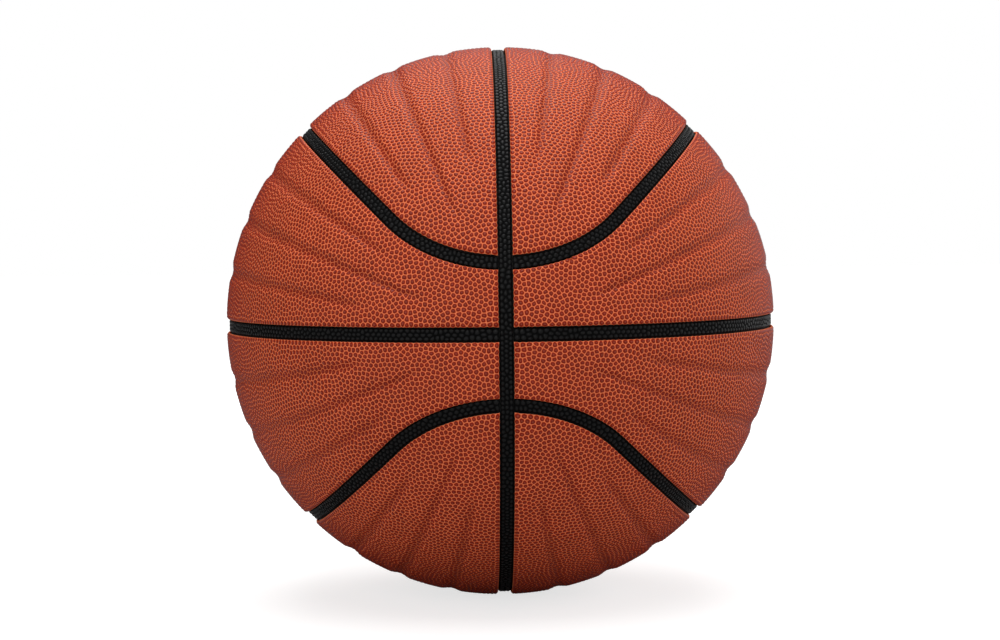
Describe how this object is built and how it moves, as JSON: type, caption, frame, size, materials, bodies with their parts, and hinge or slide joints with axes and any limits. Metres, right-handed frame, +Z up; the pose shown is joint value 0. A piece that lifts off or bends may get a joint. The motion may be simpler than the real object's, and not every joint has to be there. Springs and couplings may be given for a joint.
{
  "type": "basketball",
  "caption": "Laminated indoor basketball with grooved leather cover panels, black inlaid channel strips, layered carcass, air bladder and a valve with a pull-out core.",
  "frame": {"origin": "centre of the ball", "axes": "+Z up as pictured; the level seam lies in z = 0, the upright seam in x = 0, and they cross on the Y axis, with the pictured crossing at -Y"},
  "size_m": [0.2382, 0.2382, 0.2382],
  "materials": {
    "cover_leather": "pebbled composite leather, orange webs and red-brown pebble tops",
    "channel_leather": "black pebbled composite leather strip",
    "sponge": "fine-celled sponge rubber",
    "carcass_rubber": "matt moulded rubber",
    "nylon_thread": "wound nylon thread",
    "butyl": "smooth butyl rubber",
    "valve_rubber": "smooth black rubber",
    "core_rubber": "smooth black rubber"
  },
  "bodies": {
    "ball": {"cover_band_upper_right": "cover_leather", "cover_band_upper_left": "cover_leather", "cover_band_lower_right": "cover_leather", "cover_band_lower_left": "cover_leather", "cover_cap_upper_right": "cover_leather", "cover_cap_upper_left": "cover_leather", "cover_cap_lower_right": "cover_leather", "cover_cap_lower_left": "cover_leather", "pad_band_upper_right": "sponge", "pad_band_upper_left": "sponge", "pad_band_lower_right": "sponge", "pad_band_lower_left": "sponge", "pad_cap_upper_right": "sponge", "pad_cap_upper_left": "sponge", "pad_cap_lower_right": "sponge", "pad_cap_lower_left": "sponge", "strip_level_right": "channel_leather", "strip_level_left": "channel_leather", "strip_upright": "channel_leather", "strip_cap_upper_right": "channel_leather", "strip_cap_upper_left": "channel_leather", "strip_cap_lower_right": "channel_leather", "strip_cap_lower_left": "channel_leather", "carcass": "carcass_rubber", "thread_winding": "nylon_thread", "bladder": "butyl", "valve_housing": "valve_rubber"},
    "core": {"valve_core": "core_rubber"}
  },
  "joints": [
    {"name": "valve_core_pull", "type": "slide", "parent": "ball", "child": "core", "axis": [-0.7531, 0.6169, 0.2285], "range_m": [0, 0.022]}
  ]
}
